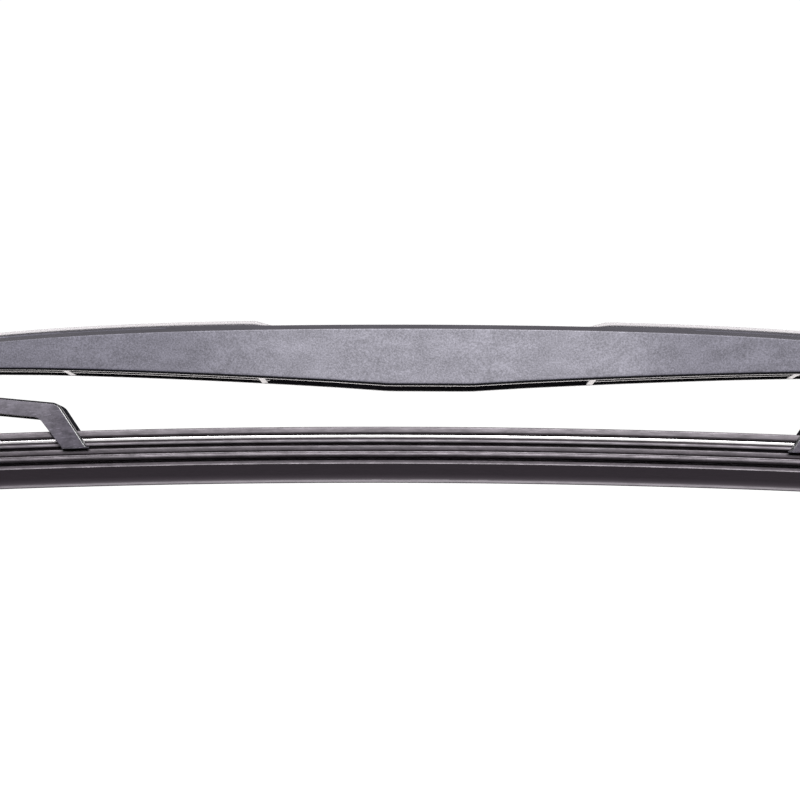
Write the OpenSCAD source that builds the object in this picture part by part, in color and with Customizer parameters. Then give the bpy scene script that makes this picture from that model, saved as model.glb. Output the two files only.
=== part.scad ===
// Bridge wiper blade: a moulded bridge that rocks on the arm's hook adaptor,
// two pressed steel yokes, and a rubber element stiffened by two steel strips.
// Millimetres. X runs along the blade, Y across it and +Z points away from the glass.
// The origin is the middle of the connector pin.

/* [Bridge] */
// Distance from the middle of the blade to each yoke pivot
pivot_x = 137; // [132:1:142]
// Height of the crest above the connector pin, at the middle
crest_rise = 7; // [6.5:0.1:8]
// Drop of the crest 100 mm out that comes from its even bow
crest_bow = 1.94; // [1.5:0.02:2.4]
// Further drop of the crest 100 mm out, which grows towards the ends
crest_dip = 1.49; // [1.2:0.01:1.8]
// Height of the side walls at the middle
belly_h = 13.85; // [13.2:0.05:14.8]
// Half length of the straight stretch under the middle
belly_flat = 9.5; // [6:0.5:14]
// Distance from the middle at which the lower edge has left the belly
flank_x = 22; // [18:1:28]
// Depth of the lower edge below the crest's middle at that place
flank_h = 13.05; // [12.5:0.05:13.15]
// Distance from the middle to the waist, where the side walls are lowest
waist_x = 92; // [86:1:98]
// Depth of the lower edge below the crest's middle at the waist
waist_h = 10.42; // [10:0.02:10.8]
// Thickness of the side walls at the middle
bridge_wall = 1.9; // [1.5:0.1:2.4]
// Thickness of the fork walls at the yoke pivots
fork_wall = 1.3; // [1.1:0.1:1.8]
// Radius of the fork ends round the pivots
fork_r = 5; // [4.4:0.1:5.6]
// Distance by which the fork walls start to deepen before the pivot
fork_run = 36; // [28:1:44]
// Thickness of the top web
web_t = 1.5; // [1.1:0.1:2]
// Rise of the crowned top over its edges
crown_h = 1.5; // [1:0.1:1.7]
// Height of the bevel along the crest
bevel_h = 1.1; // [0.8:0.1:1.4]
// Width of the bevel along the crest
bevel_w = 0.9; // [0.6:0.1:1]
// Distance from the middle to the cross ribs that end the connector window
window_x = 37; // [32:0.5:42]
// Spacing from those ribs to the next cross ribs
rib_pitch = 44.5; // [36:0.5:50]
// Thickness of a cross rib
rib_t = 1.7; // [1:0.1:2]

/* [Arm connector] */
// Diameter of the connector pin
pin_d = 5; // [4.5:0.1:5.5]
// Depth to which the connector pin is moulded into each wall
pin_bite = 1.1; // [0.8:0.1:1.3]
// Width of the arm hook that the window takes
hook_w = 9; // [8:0.1:9.5]
// Free width between the arm hook and each wall
hook_gap = 0.6; // [0.4:0.1:1]
// Radius of the adaptor's barrel, inside the arm hook's bend
barrel_r = 4.2; // [3.9:0.1:4.6]
// Length of the adaptor's tail from the pin
tail_l = 22; // [18:0.5:26]
// Thickness of the adaptor's latch tongue
latch_t = 1.3; // [1:0.1:1.6]
// Width of the mouth through which the adaptor snaps on the pin
snap_w = 4.3; // [4:0.1:4.4]
// Wall of the bosses round the connector pin
boss_t = 1.4; // [1.2:0.1:1.8]

/* [Yokes] */
// Drop from the connector pin to the yoke pivots
pivot_drop = 11; // [10:0.1:12]
// Distance from the middle to the left yoke's inner claw
claw_in_left = 80.5; // [77:0.5:84]
// Distance from the middle to the right yoke's inner claw
claw_in_right = 84; // [80:0.5:87]
// Distance from the middle to the outer claws
claw_out_x = 191; // [187:0.5:193]
// Thickness of the yoke's sheet steel
steel_t = 1; // [0.8:0.05:1.2]
// Lean of the legs, away from the pivot on the way down
leg_lean = 33; // [27:1:38]
// Width of a leg along the blade
leg_w = 5.8; // [5.2:0.1:6.2]
// Rise of the knees over the rubber
knee_rise = 6.15; // [5.5:0.05:6.7]
// Depth of the yoke's side walls near the knees
arm_h = 3.9; // [3.5:0.1:4.3]
// Height of the yoke's back above its pivot
hub_top = 4; // [3.6:0.1:4.4]
// Depth of the yoke's side walls below its pivot
hub_low = 4; // [3.6:0.1:4.4]
// Diameter of the pivot rivets
rivet_d = 3; // [2.6:0.1:3.4]
// Diameter of the rivet heads
rivet_head_d = 5.4; // [4.8:0.1:6]
// Thickness of the rivet heads
rivet_head_t = 0.8; // [0.6:0.1:1.2]
// Thickness of the plastic liner between a yoke and its fork
liner_t = 0.4; // [0.3:0.05:0.5]
// Wall of the liner's collars round the rivet
collar_t = 0.55; // [0.4:0.05:0.7]

/* [Rubber element] */
// Length of the rubber
blade_l = 400; // [398:1:420]
// Radius of the element's bow
bow_r = 2425; // [2200:25:2800]
// Drop from the connector pin to the rubber's top, at the middle
rubber_drop = 16.05; // [15.8:0.05:16.6]
// Width of the rubber's head
head_w = 5.6; // [5.4:0.05:5.8]
// Thickness of the head above the strips
head_t = 1.75; // [1.6:0.05:1.9]
// Thickness of the web between the strips
core_w = 1.3; // [1:0.1:1.6]
// Thickness of the flange below the strips
flange_t = 0.98; // [0.85:0.01:1.1]
// Height of the groove that the claws grip
claw_slot_h = 0.68; // [0.62:0.01:0.85]
// Thickness of the rubber between the claw grooves
claw_core_w = 3; // [2.6:0.1:3.2]
// Width of the shoulder below the claws
shoulder_w = 5.8; // [5.4:0.1:6.2]
// Height of the shoulder below the claws
shoulder_h = 1.12; // [1:0.01:1.4]
// Height of the skirt under the shoulder
skirt_h = 1.53; // [1.3:0.01:1.8]
// Height of the neck on which the lip tips over
neck_h = 0.65; // [0.55:0.05:0.9]
// Thickness of that neck
neck_w = 1; // [0.8:0.1:1.4]
// Width across the lip's shoulders
wedge_w = 4.9; // [4.4:0.1:5.2]
// Height of the lip's sloped shoulders
wedge_h = 0.85; // [0.7:0.05:1]
// Height of the tapered part of the lip
lip_h = 3.45; // [3:0.05:4]
// Height of the lip's straight tip
tip_h = 0.8; // [0.6:0.1:1.2]
// Thickness of the lip's tip
tip_w = 0.9; // [0.7:0.1:1.2]

/* [Steel strips] */
// Thickness of a steel strip
strip_t = 0.85; // [0.75:0.05:1]
// Distance by which the strips end before the rubber
strip_short = 3; // [1:0.5:5]
// Depth of the notches that the locking claw enters
notch_d = 0.45; // [0.3:0.05:0.6]
// Length of the pips that hold the strips at the locking claw
pip_l = 2; // [1.6:0.1:2.6]

/* [Clearances] */
// Radial clearance of a turning joint
run_gap = 0.05; // [0.03:0.01:0.08]
// Side clearance between a liner and its fork wall
side_gap = 0.1; // [0.06:0.02:0.2]
// Clearance between a claw and the rubber's sides
claw_gap = 0.2; // [0.12:0.02:0.3]
// Clearance above and below a claw's lips
lip_gap = 0.06; // [0.04:0.01:0.08]
// Clearance round a steel strip in its grooves
strip_gap = 0.02; // [0.01:0.01:0.04]

/* [Hidden] */
$fn = 96;
over = 1;           // how far a cutting shape runs past what it cuts
arc_steps = 5;      // straight pieces in a rounded corner

// Small sizes of the bridge and the arm connector
rib_lift = 0.15;    // how far a cross rib stays above the walls' lower edge
belly_curve = 1.33; // how soon the lower edge rises on its way from the belly to the waist
window_lip = 0.3;   // how far the web runs in from the walls beside the window
hook_fit = 0.1;     // how much narrower the adaptor is than the hook, on each side
tail_drop = 1.2;    // how much lower the adaptor's top is at its end
slit_h = 0.9;       // height of the slit that frees the latch tongue
core_wall = 1.6;    // walls left beside the adaptor's pocket
core_end = 2;       // wall left at the end of the adaptor's pocket

// Widths that follow from one another, from the rubber outwards
claw_inner = head_w / 2 + claw_gap;
yoke_half = claw_inner + steel_t;
liner_half = yoke_half + liner_t;
fork_inner = liner_half + side_gap;
slot_inner = hook_w / 2 + hook_gap;
adaptor_half = hook_w / 2 - hook_fit;
boss_inner = adaptor_half + side_gap;

// Depths of the rubber's section below its top
strip_top_d = head_t;
strip_low_d = strip_top_d + strip_t + 2 * strip_gap;
flange_d = strip_low_d + flange_t;
slot_d = flange_d + claw_slot_h;
shoulder_d = slot_d + shoulder_h;
skirt_d = shoulder_d + skirt_h;
neck_d = skirt_d + neck_h;
wedge_d = neck_d + wedge_h;
lip_d = wedge_d + lip_h;
tip_d = lip_d + tip_h;
foot_d = slot_d - lip_gap;
mouth = 0.32;       // chamfer at the mouths of the rubber's grooves
head_c = 0.2;       // chamfer of the rubber's top edges
edge_c = 0.1;       // chamfer of the shoulder's edges
bead_d = 0.44;      // depth of the groove between shoulder and skirt
shoulder_draft = 0.08; // how much the shoulder narrows on the way down
skirt_draft = 0.6;  // how much narrower the skirt's foot is than the shoulder, on each side
fillet = 0.2;       // chamfer in the corners beside the neck
tip_step = 0.12;    // how much wider the tip is at its root, on each side
strip_set = 0.3;    // how far the strips stay behind the rubber's sides
strip_in = core_w / 2 + strip_gap;
strip_out = head_w / 2 - strip_set;

// Places of the yoke's parts
pivot_z = -pivot_drop;
hub_l = 5;          // half length of the yoke's level back over the pivot
hub_run = 9;        // half length of the yoke's level lower edge under the pivot
hub_turn_r = 6;     // radius at the ends of that lower edge
knee_r = 2.2;       // radius outside a knee
crook_r = 3;        // radius inside a knee
sway_r = 20;        // radius of the arm's slight turns
foot_run = 12;      // how far the channel's hollow runs on past a foot
strap_set = 2.2;    // how much shorter the liner's strap is than the yoke's level back
collar_run = 0.2;   // how far the liner's collars stand past the yoke's walls
arm_even = 20;      // stretch past a claw over which the arm keeps its depth
lip_reach = 1.25;   // how far a claw's lips reach in from its walls
lip_set = 0.05;     // how far the lips stand above the feet's ends
lip_side = 0.5;     // how much shorter the lips are than a foot, at each end
pip_gap = 0.15;     // room between a locking pip and the end of its notch
pip_side = 0.1;     // room above and below a pip, inside the notch
notch_side = 0.3;   // room at each end of a pip, inside the notch
head_clear = 0.3;   // room between the rubber's top and a leg's web
collar_r = rivet_d / 2 + run_gap + collar_t;
lock_side = -1;     // the end whose outer claw locks the strips

// Height of the bridge's crest edge at a distance along the blade
function crest_z(x) =
    crest_rise - crest_bow * pow(x / 100, 2) - crest_dip * pow(x / 100, 4);

// Part of a rise done at t, level at both ends
function eased(t) = let (u = min(max(t, 0), 1)) u * u * (3 - 2 * u);

// Depth of the bridge's lower edge below the crest's middle, before the fork
function belly_depth(d) =
    d <= belly_flat ? belly_h
    : d <= flank_x ? belly_h - (belly_h - flank_h) * (d - belly_flat) / (flank_x - belly_flat)
    : d >= waist_x ? waist_h
    : waist_h + (flank_h - waist_h) * pow(1 - (d - flank_x) / (waist_x - flank_x), belly_curve);

// Height of the bridge's lower edge, with the fork's deepening and round end
function edge_z(x) =
    let (
        d = abs(x),
        belly = crest_rise - belly_depth(d),
        fork = pivot_z - fork_r,
        past = min(max(d - pivot_x, 0), fork_r)
    )
    past > 0 ? pivot_z - sqrt(fork_r * fork_r - past * past)
    : belly + (fork - belly) * eased((d - pivot_x + fork_run) / (fork_run - 3));

// Half widths of the bridge, which tapers from the window to the forks
function taper(x) = min(abs(x) / (pivot_x - fork_run), 1);
function inner_w(x) = slot_inner + (fork_inner - slot_inner) * taper(x);
function outer_w(x) = inner_w(x) + bridge_wall + (fork_wall - bridge_wall) * taper(x);

// Top of the rubber and its downward slope at a distance along the blade
function rubber_z(x) = -rubber_drop - bow_r + sqrt(bow_r * bow_r - x * x);
function rubber_slope(x) = asin(x / bow_r);

// Points of the arc that rounds the corner b between a and c
function corner(a, b, c, r) =
    r <= 0 ? [b] :
    let (
        u = (a - b) / norm(a - b),
        v = (c - b) / norm(c - b),
        half = acos(u * v) / 2,
        mid = b + (u + v) / norm(u + v) * r / sin(half),
        from = b + u * r / tan(half) - mid,
        to = b + v * r / tan(half) - mid,
        start = atan2(from.y, from.x),
        turn = atan2(to.y, to.x) - start,
        sweep = turn > 180 ? turn - 360 : turn < -180 ? turn + 360 : turn
    )
    [for (k = [0 : arc_steps]) let (w = start + sweep * k / arc_steps) mid + r * [cos(w), sin(w)]];

// A closed outline with each corner rounded to its own radius
function rounded(pts, radii) =
    let (n = len(pts))
    [for (i = [0 : n - 1]) each corner(pts[(i + n - 1) % n], pts[i], pts[(i + 1) % n], radii[i])];

// A path moved to its right by t, without its two end points
function inset(path, t) =
    [for (i = [1 : len(path) - 2])
        let (
            a = (path[i] - path[i - 1]) / norm(path[i] - path[i - 1]),
            b = (path[i + 1] - path[i]) / norm(path[i + 1] - path[i]),
            m = [a.y, -a.x],
            n = [b.y, -b.x]
        )
        path[i] + (m + n) / (1 + m * n) * t];

// A profile drawn in X and Z, extruded evenly to both sides of the blade's middle plane
module across(half) {
    rotate([90, 0, 0])
        linear_extrude(2 * half, center = true)
            children();
}

// A cylinder across the blade between two distances from the middle plane
module rod(r, y0, y1) {
    translate([0, y0, 0])
        rotate([-90, 0, 0])
            cylinder(r = r, h = y1 - y0);
}

// What stands on the rear side of the middle plane, and its image on the front
module both_sides() {
    children();
    mirror([0, 1, 0])
        children();
}

// A section drawn as [depth, y], swept along the element's bow for a half length
module along_bow(half) {
    angle = asin(half / bow_r);
    translate([0, 0, -rubber_drop - bow_r])
        rotate([90, 0, 0])
            rotate([0, 0, 90 - angle])
                rotate_extrude(angle = 2 * angle, $fn = 720)
                    translate([bow_r, 0])
                        rotate(180)
                            children();
}

// Places a shape drawn about the rubber's top on the bowed element
module on_rubber(x) {
    translate([x, 0, rubber_z(x)])
        rotate([0, rubber_slope(x), 0])
            children();
}

// Cross-section of the bridge's inverted channel at x
function bridge_section(x) =
    let (
        o = outer_w(x), i = inner_w(x), b = edge_z(x), t = crest_z(x), c = o - bevel_w,
        crown = [for (k = [3 : -1 : -3]) [x, c * k / 3, t + crown_h * (1 - k * k / 9)]]
    )
    concat(
        [[x, o, b], [x, o, t - bevel_h]], crown, [[x, -o, t - bevel_h], [x, -o, b]],
        [[x, -i, b], [x, -i, t - web_t], [x, 0, t - web_t + crown_h / 2], [x, i, t - web_t], [x, i, b]]
    );

// Places of the bridge's sections: even steps, then steps round the fork's end
function half_stations() = concat(
    [for (k = [0 : 33]) pivot_x * k / 34],
    [for (w = [0 : 15 : 75]) pivot_x + fork_r * sin(w)],
    [pivot_x + fork_r * 0.995]
);

module bridge_channel() {
    right = half_stations();
    n = len(right);
    stations = concat([for (k = [n - 1 : -1 : 1]) -right[k]], right);
    sections = [for (x = stations) bridge_section(x)];
    m = len(sections[0]);
    last = len(sections) - 1;
    // the channel's end face, as convex pieces
    cap = [[0, 1, 14, 15], [1, 2, 14], [2, 3, 4, 5, 13, 14],
           [5, 6, 7, 8, 12, 13], [8, 9, 12], [9, 10, 11, 12]];
    polyhedron(
        points = [for (s = sections) each s],
        faces = concat(
            cap,
            [for (c = cap) [for (k = [len(c) - 1 : -1 : 0]) last * m + c[k]]],
            [for (s = [0 : last - 1]) for (k = [0 : m - 1])
                let (j = (k + 1) % m) each [
                    [s * m + k, (s + 1) * m + k, (s + 1) * m + j],
                    [s * m + k, (s + 1) * m + j, s * m + j]
                ]]
        ),
        convexity = 6
    );
}

// The open stretch of the top that takes the arm's hook
module window_cut() {
    e = window_x - rib_t / 2;
    middle = inner_w(0) - window_lip;
    end = inner_w(e) - window_lip;
    translate([0, 0, crest_z(e) - web_t - over])
        linear_extrude(web_t + crown_h + 3 * over)
            polygon([[-e, -end], [0, -middle], [e, -end], [e, end], [0, middle], [-e, end]]);
}

module cross_rib(x) {
    half = inner_w(x) + fork_wall / 2;
    low = max(edge_z(x - rib_t / 2), edge_z(x + rib_t / 2)) + rib_lift;
    translate([x - rib_t / 2, -half, low])
        cube([rib_t, 2 * half, crest_z(x) - web_t / 2 + crown_h / 4 - low]);
}

module bridge() {
    color("#4b4a50")
        difference() {
            union() {
                difference() {
                    bridge_channel();
                    window_cut();
                }
                for (side = [-1, 1]) {
                    cross_rib(side * window_x);
                    cross_rib(side * (window_x + rib_pitch));
                }
                both_sides()
                    rod(pin_d / 2 + boss_t, boss_inner, slot_inner + bridge_wall / 2);
            }
            rod(pin_d / 2, -slot_inner - pin_bite, slot_inner + pin_bite);
            for (side = [-1, 1])
                translate([side * pivot_x, 0, pivot_z])
                    rod(rivet_d / 2, -fork_inner - fork_wall - over, fork_inner + fork_wall + over);
        }
}

module connector_pin() {
    color("#b9bbbd")
        rod(pin_d / 2, -slot_inner - pin_bite, slot_inner + pin_bite);
}

// Snaps on the pin from above and sits between the legs of the arm's hook
module hook_adaptor() {
    top = barrel_r;
    end_top = top - tail_drop;
    slit_low = end_top - latch_t - slit_h;
    color("#2b2b2e")
        difference() {
            union() {
                rod(barrel_r, -adaptor_half, adaptor_half);
                across(adaptor_half)
                    polygon(rounded(
                        [[0, -barrel_r], [tail_l, -barrel_r], [tail_l, end_top],
                         [tail_l * 0.6, top], [0, top]],
                        [0, 1, 0.6, 3, 0]
                    ));
            }
            rod(pin_d / 2 + run_gap, -adaptor_half - over, adaptor_half + over);
            translate([-snap_w / 2, -adaptor_half - over, -barrel_r - over])
                cube([snap_w, 2 * (adaptor_half + over), barrel_r + over]);
            // the slit that frees the latch tongue, and the pocket that lightens the core
            translate([barrel_r + core_wall, -adaptor_half - over, slit_low])
                cube([tail_l, 2 * (adaptor_half + over), slit_h]);
            translate([barrel_r + core_wall, -adaptor_half + core_wall, -barrel_r - over])
                cube([tail_l - barrel_r - core_wall - core_end, 2 * (adaptor_half - core_wall),
                      barrel_r + over - slit_h]);
        }
}

module pivot_rivet(side) {
    seat = fork_inner + fork_wall;
    color("#a9abad")
        translate([side * pivot_x, 0, pivot_z]) {
            rod(rivet_d / 2, -seat, seat);
            both_sides()
                rod(rivet_head_d / 2, seat, seat + rivet_head_t);
        }
}

// Foot, knee and the start of the arm of one leg, for a claw at x whose pivot lies towards dir
function leg_foot(x, dir) =
    [for (s = [-1, 1]) let (u = x + s * dir * leg_w / 2) [u, rubber_z(u) - foot_d]];
function leg_knee(x, dir) =
    [x - dir * leg_w / 2 + dir * (knee_rise + foot_d) * tan(leg_lean), rubber_z(x) + knee_rise];
function leg_crook(x, dir) =
    [x + dir * leg_w / 2 + dir * (knee_rise + foot_d - arm_h) * tan(leg_lean),
     rubber_z(x) + knee_rise - arm_h];
function arm_under(knee, hub, x) =
    [x, knee.y + (hub.y - knee.y) * (x - knee.x) / (hub.x - knee.x) - arm_h];

// Side profile of a yoke with its inner claw at x, on the blade's right half
function yoke_back(x) =
    let (
        inner = leg_foot(x, 1)[0],
        outer = leg_foot(claw_out_x, -1)[0]
    )
    [inner, leg_knee(x, 1),
     [pivot_x - hub_l, pivot_z + hub_top], [pivot_x + hub_l, pivot_z + hub_top],
     leg_knee(claw_out_x, -1), outer];

function yoke_belly(x, back) =
    [leg_foot(claw_out_x, -1)[1], leg_crook(claw_out_x, -1),
     arm_under(back[4], back[3], claw_out_x - arm_even),
     [pivot_x + hub_run, pivot_z - hub_low], [pivot_x - hub_run, pivot_z - hub_low],
     arm_under(back[1], back[2], x + arm_even),
     leg_crook(x, 1), leg_foot(x, 1)[1]];

module yoke_profile(x) {
    back = yoke_back(x);
    back_r = [0, knee_r, sway_r, sway_r, knee_r, 0];
    belly_r = [0, crook_r, sway_r, hub_turn_r, hub_turn_r, sway_r, crook_r, 0];
    polygon(rounded(concat(back, yoke_belly(x, back)), concat(back_r, belly_r)));
}

// The hollow of the channel: the profile's back, run on past both feet and moved in by the sheet's thickness
module yoke_hollow(x) {
    back = yoke_back(x);
    out = foot_run * sin(leg_lean);
    down = foot_run * cos(leg_lean);
    path = concat(
        [for (k = [2, 1]) back[0] - k * [out, down]],
        [for (k = [1 : 4]) back[k]],
        [for (k = [1, 2]) back[5] + k * [out, -down]]
    );
    inner_knee_r = knee_r - steel_t;
    inner_sway_r = sway_r - steel_t;
    polygon(rounded(inset(path, steel_t), [0, inner_knee_r, inner_sway_r, inner_sway_r, inner_knee_r, 0]));
}

// The way through a leg's web for the rubber's head
module rubber_passage(x) {
    translate([x, rubber_z(x)])
        rotate(-rubber_slope(x))
            translate([-2 * leg_w, -2 * foot_d])
                square([4 * leg_w, 2 * foot_d + head_clear]);
}

// The flanges that a foot turns in under the rubber's head, and the pips of the locking claw
module claw_lips(x, locks) {
    sunk = steel_t / 2;
    pip_y = strip_out - notch_d + pip_gap;
    on_rubber(x)
        both_sides() {
            translate([-leg_w / 2 + lip_side, claw_inner - lip_reach, -foot_d + lip_set])
                cube([leg_w - 2 * lip_side, lip_reach + sunk, claw_slot_h - 2 * lip_gap - lip_set]);
            if (locks)
                translate([-pip_l / 2, pip_y, -strip_low_d + strip_gap + pip_side])
                    cube([pip_l, claw_inner + sunk - pip_y, strip_t - 2 * pip_side]);
        }
}

module yoke(side) {
    claw_in = side < 0 ? claw_in_left : claw_in_right;
    color("#3a3a3f")
        mirror([side < 0 ? 1 : 0, 0, 0])
            difference() {
                union() {
                    difference() {
                        across(yoke_half)
                            yoke_profile(claw_in);
                        across(claw_inner) {
                            yoke_hollow(claw_in);
                            for (x = [claw_in, claw_out_x])
                                rubber_passage(x);
                        }
                    }
                    claw_lips(claw_in, false);
                    claw_lips(claw_out_x, side == lock_side);
                }
                translate([pivot_x, 0, pivot_z])
                    rod(collar_r, -yoke_half - over, yoke_half + over);
            }
}

// A saddle over the yoke's back with a collar through each of its walls
module pivot_liner(side) {
    strap = 2 * (hub_l - strap_set);
    color("#d9d6cc")
        translate([side * pivot_x, 0, pivot_z])
            difference() {
                union() {
                    both_sides() {
                        rod(hub_top, yoke_half, liner_half);
                        rod(collar_r, claw_inner - collar_run, yoke_half);
                        translate([-strap / 2, yoke_half, 0])
                            cube([strap, liner_t, hub_top + liner_t]);
                    }
                    translate([-strap / 2, -liner_half, hub_top])
                        cube([strap, 2 * liner_half, liner_t]);
                }
                both_sides()
                    rod(rivet_d / 2 + run_gap, claw_inner - over, liner_half + over);
            }
}

// A strip in the rubber's groove, on the rear side; the front one is its image
module rear_strip() {
    difference() {
        along_bow(blade_l / 2 - strip_short)
            translate([strip_top_d + strip_gap, strip_in])
                square([strip_t, strip_out - strip_in]);
        on_rubber(lock_side * claw_out_x)
            translate([-pip_l / 2 - notch_side, strip_out - notch_d, -strip_low_d - over])
                cube([pip_l + 2 * notch_side, notch_d + over, strip_t + 2 * over]);
    }
}

module strip(side) {
    color("#d4d6d8")
        mirror([0, side < 0 ? 1 : 0, 0])
            rear_strip();
}

// Half of the rubber's section, as [depth, y] from the top down to the tip
function rubber_half() = concat(head_section(), skirt_section(), lip_section());

// The head with the strip's groove and the claw's groove
function head_section() =
    let (half = head_w / 2)
    [[0, half - head_c], [head_c, half],
     [strip_top_d - mouth, half], [strip_top_d, half - mouth], [strip_top_d, core_w / 2],
     [strip_low_d, core_w / 2], [strip_low_d, half - mouth], [strip_low_d + mouth, half],
     [flange_d, half], [flange_d, claw_core_w / 2], [slot_d, claw_core_w / 2]];

// The shoulder that the claws stand on, with its groove, and the skirt under it
function skirt_section() =
    let (half = shoulder_w / 2)
    [[slot_d, half - edge_c], [slot_d + edge_c, half], [shoulder_d, half - shoulder_draft],
     [shoulder_d + edge_c, half - bead_d], [shoulder_d + bead_d - edge_c, half - bead_d],
     [shoulder_d + bead_d, half - edge_c], [skirt_d, half - skirt_draft]];

// The neck and the lip
function lip_section() =
    let (half = neck_w / 2)
    [[skirt_d, half + fillet], [skirt_d + fillet, half], [neck_d - fillet, half], [neck_d, half + fillet],
     [neck_d, wedge_w / 2 - wedge_h / 2], [wedge_d, wedge_w / 2],
     [lip_d, tip_w / 2 + tip_step], [tip_d, tip_w / 2]];

module rubber_element() {
    half = rubber_half();
    n = len(half);
    color("#26252a")
        along_bow(blade_l / 2)
            polygon(concat(half, [for (k = [n - 1 : -1 : 0]) [half[k].x, -half[k].y]]));
}

hook_adaptor();
bridge();
connector_pin();
pivot_rivet(-1);  // pivot_rivet_left
pivot_rivet(1);  // pivot_rivet_right
yoke(-1);  // yoke_left
yoke(1);  // yoke_right
pivot_liner(-1);  // pivot_liner_left
pivot_liner(1);  // pivot_liner_right
strip(-1);  // strip_front
strip(1);  // strip_rear
rubber_element();
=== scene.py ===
import math

import bmesh
import bpy
from mathutils import Matrix, Quaternion, Vector


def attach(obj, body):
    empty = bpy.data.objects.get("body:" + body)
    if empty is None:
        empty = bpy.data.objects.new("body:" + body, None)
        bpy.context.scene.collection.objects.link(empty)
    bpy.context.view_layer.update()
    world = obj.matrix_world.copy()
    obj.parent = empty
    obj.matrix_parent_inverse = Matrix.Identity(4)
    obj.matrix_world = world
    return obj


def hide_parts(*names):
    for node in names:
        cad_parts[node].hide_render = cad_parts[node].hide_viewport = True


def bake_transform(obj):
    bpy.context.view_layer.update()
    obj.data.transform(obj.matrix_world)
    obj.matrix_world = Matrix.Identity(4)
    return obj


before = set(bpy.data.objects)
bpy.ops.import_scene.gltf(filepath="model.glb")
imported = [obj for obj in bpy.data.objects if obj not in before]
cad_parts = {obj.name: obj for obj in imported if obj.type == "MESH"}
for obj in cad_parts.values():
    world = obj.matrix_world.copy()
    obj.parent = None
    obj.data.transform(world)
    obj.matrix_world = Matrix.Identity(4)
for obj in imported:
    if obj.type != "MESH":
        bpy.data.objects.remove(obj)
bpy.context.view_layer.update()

# Sizes are millimetres in the part's own axes until a piece is made: X runs along the blade,
# and the connector pin's axis crosses the origin.
MM = 0.001
ALONG = Vector((1, 0, 0))
ACROSS = Vector((0, 1, 0))
NEAR, WELD = 0.01, 0.002
SHARP = math.radians(40)

# Bridge: the crest's curve, and the side walls, which are BELLY deep at the middle
CREST, CREST_BOW, CREST_FALL = 7.0, 1.94, 1.49
BELLY, BELLY_END, BELLY_RISE = 13.85, 9.5, 0.8
SLOPE_START, SLOPE_END, SLOPE_RISE, EVEN_DEPTH = 22.0, 92.0, 2.5, 10.55
WALL_IN, WALL_OUT = 5.1, 7.0

# Bridge: the edges' bands, which keep their sizes where the walls get thinner and shallower
BAND_IN, BAND_OUT, BAND_TOP, BAND_FOOT = 0.2, 0.8, 2.0, 1.0

# Bridge: the forks that hold the yokes' pivots
FORK_IN, FORK_WALL = 4.5, 1.3
PIVOT_X, PIVOT_Z, FORK_R = 137.0, -11.0, 5.0
FORK_RUN, FORK_EVEN = 36.0, 3.0
BRIDGE_END, END_R = PIVOT_X + FORK_R, 0.8

# Bridge: the web between the walls, its crown and its window
CROWN, CROWN_HALF = 1.85, 6.1
CROWN_START, CROWN_RUN = 34.0, 7.0
WEB_T, WEB_SAG, WEB_CUT = 1.1, 0.4, 1.6
WINDOW_X, WINDOW_STEPS, ARM_STEPS = 37.0, 18, 50
WINDOW_HALF = WALL_IN - 0.3

# Bridge: ribs. A part that runs into another one is sunk that deep.
RIB_T, RIB_BELOW, RIB_EDGE_R = 1.5, 0.15, 0.12
WINDOW_RIB, OUTER_RIB = {-1: 38.5, 1: 37.0}, 83.4
WINDOW_END = WINDOW_X - RIB_T / 2
SPINE_T, SUNK = 0.9, 0.5

# Rubber element and strips
BOW_R, RUBBER_TOP, BOW_STEPS = 2425.0, -16.05, 90
BOW_CENTRE = Vector((0, 0, RUBBER_TOP - BOW_R))
BLADE_HALF, STRIP_HALF = 200.0, 197.0
FINISH_DEPTHS = (4.3, 8.5, 12.0)
NOTCH_HALF, NOTCH_DEPTH = 1.3, 0.45

# Yokes: places and sizes of the claws, the knees above them and the arms
CLAW_IN, CLAW_OUT = {-1: 80.8, 1: 84.2}, 191.0
LEG_W, LEG_FLARE, LEG_LEAN = 5.8, 0.85, math.radians(34.2)
FOOT_DEPTH, KNEE_RISE, CROOK_DROP = 4.24, 6.3, 3.4
ARM_H, ARM_START = 3.76, 20.0
HUB_HALF, ROOT_HALF, HUB_H = 5.0, 9.0, 4.0
KNEE_R, CROOK_R, ARM_R, ROOT_R, CORNER_STEPS = 2.8, 3.0, 20.0, 6.0, 8

# Yokes: the pressed sheet
YOKE_HALF, STEEL_T = 4.0, 1.0
YOKE_IN = YOKE_HALF - STEEL_T
BEND_R, SOFT_R = 0.62, 0.1
FOLD_R, FOLD_OUT, FOLD_MORE = 0.22, 0.1, 0.4
HEAD_ROOM, LEG_OVERRUN = 0.3, 12.0


# ---- measures along the blade ----

def eased(t):
    """From 0 to 1 with a soft start and end."""
    t = min(max(t, 0.0), 1.0)
    return t * t * (3 - 2 * t)


def crest_z(x):
    """Height of the bridge's crest edge."""
    return CREST - CREST_BOW * (x / 100) ** 2 - CREST_FALL * (x / 100) ** 4


def wall_depth(d):
    """Depth of the side walls before the fork, at a distance from the middle."""
    if d <= BELLY_END:
        return BELLY
    if d <= SLOPE_START:
        return BELLY - BELLY_RISE * (d - BELLY_END) / (SLOPE_START - BELLY_END)
    if d >= SLOPE_END:
        return EVEN_DEPTH
    return EVEN_DEPTH + SLOPE_RISE * (1 - (d - SLOPE_START) / (SLOPE_END - SLOPE_START)) ** 1.5


def edge_z(x):
    """Height of the side walls' lower edge, round at the fork's end."""
    d = abs(x)
    past = min(max(d - PIVOT_X, 0.0), FORK_R)
    if past > 0:
        return PIVOT_Z - math.sqrt(FORK_R ** 2 - past ** 2)
    depth, fork = wall_depth(d), PIVOT_Z - FORK_R
    lowered = eased((d - PIVOT_X + FORK_RUN) / (FORK_RUN - FORK_EVEN))
    return CREST - depth + (fork - CREST + depth) * lowered


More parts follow.
